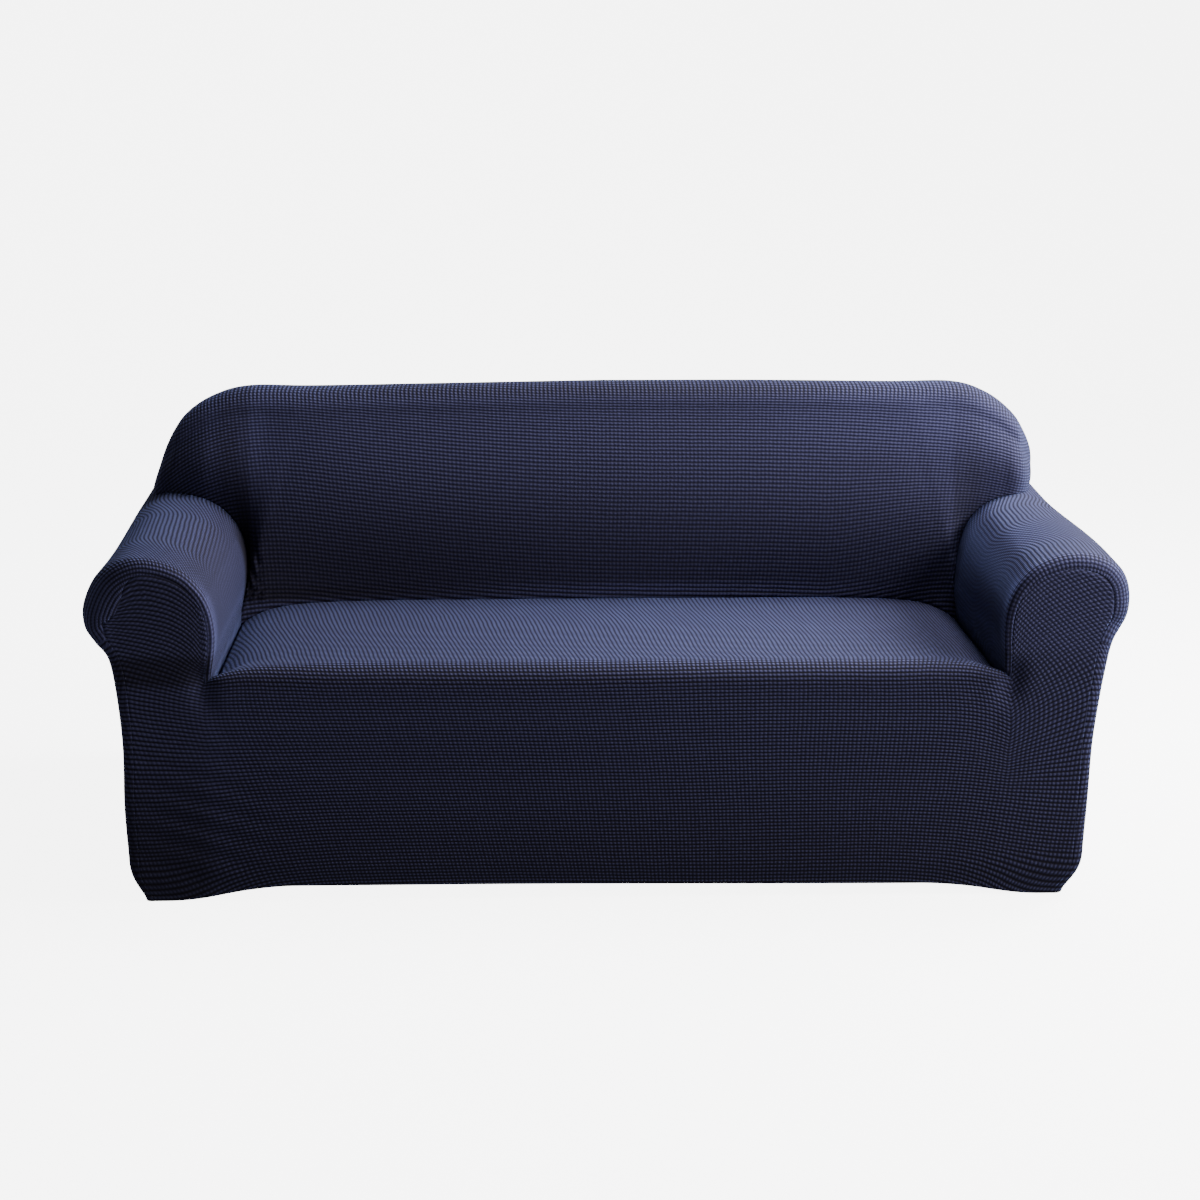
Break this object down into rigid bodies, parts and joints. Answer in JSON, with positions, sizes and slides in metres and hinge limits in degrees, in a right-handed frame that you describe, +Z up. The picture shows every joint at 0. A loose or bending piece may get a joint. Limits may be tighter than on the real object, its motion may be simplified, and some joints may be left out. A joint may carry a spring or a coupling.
{
  "type": "sofa slipcover",
  "caption": "Fitted stretch-knit slipcover in muted navy, shaped over a sofa with rolled arms and a low rounded back, with a plain hem.",
  "frame": {"origin": "under side of the cloth at the crest of the back, at mid-width", "axes": "+X along the sofa to a viewer's right when facing its front, +Y from the front to the rear, +Z up"},
  "size_m": [2.0233, 0.88, 0.9256],
  "materials": {
    "knit": "matte"
  },
  "bodies": {
    "root": {"seat_and_front": "knit", "inside_back": "knit", "outside_back": "knit", "arm_left": "knit", "arm_right": "knit"}
  },
  "joints": []
}
